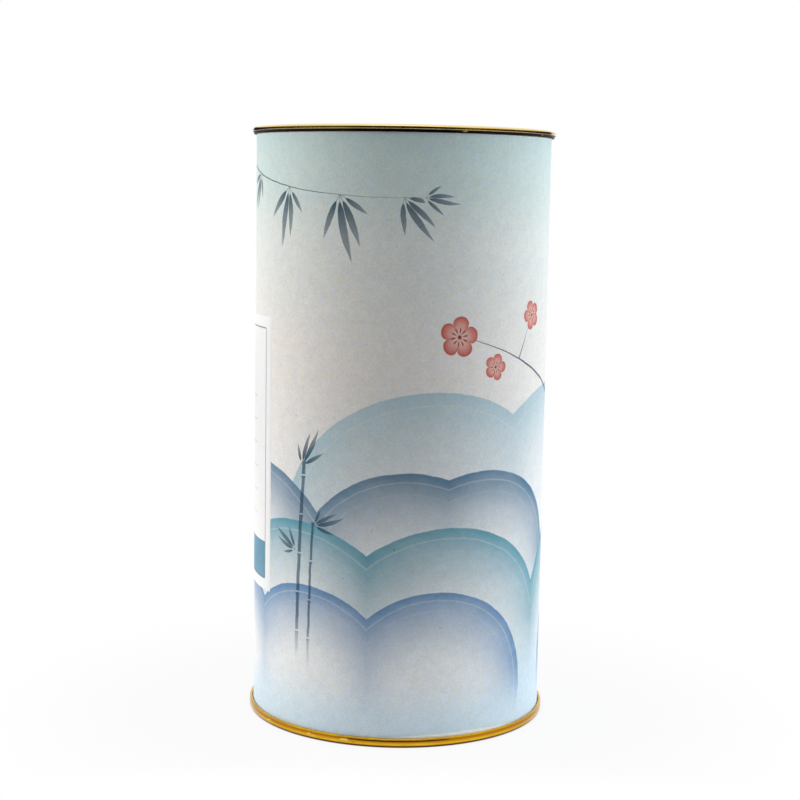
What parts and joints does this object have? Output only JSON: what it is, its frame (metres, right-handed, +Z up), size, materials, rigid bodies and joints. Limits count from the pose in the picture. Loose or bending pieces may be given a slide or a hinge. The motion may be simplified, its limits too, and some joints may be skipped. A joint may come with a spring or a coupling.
{
  "type": "tea tin",
  "caption": "Upright round paper can for tea with a printed wrap, a plain side label, gold tinplate end seams and a recessed tinplate plug lid that lifts out.",
  "frame": {"origin": "centre of the standing edge", "axes": "+Z up along the can's axis, -Y towards the front, +X to the right of the front"},
  "size_m": [0.1028, 0.1028, 0.2],
  "materials": {
    "foil": "satin foil laminate",
    "board": "matt grey-brown board",
    "printed_paper": "matt print in pale blue, off-white and teal",
    "label_paper": "smooth white with a thin grey frame and a teal band",
    "tinplate": "clear gold lacquer on bright tinplate",
    "compound": "matt grey sealing compound"
  },
  "bodies": {
    "can": {"foil_liner": "foil", "inner_board_ply": "board", "middle_board_ply": "board", "outer_board_ply": "board", "printed_wrap": "printed_paper", "side_label": "label_paper", "bottom_end": "tinplate", "bottom_sealing_compound": "compound", "top_ring": "tinplate", "top_sealing_compound": "compound"},
    "lid": {"plug_lid": "tinplate"}
  },
  "joints": [
    {"name": "lid_lift", "type": "slide", "parent": "can", "child": "lid", "axis": [0, 0, 1], "range_m": [0, 0.1]}
  ]
}
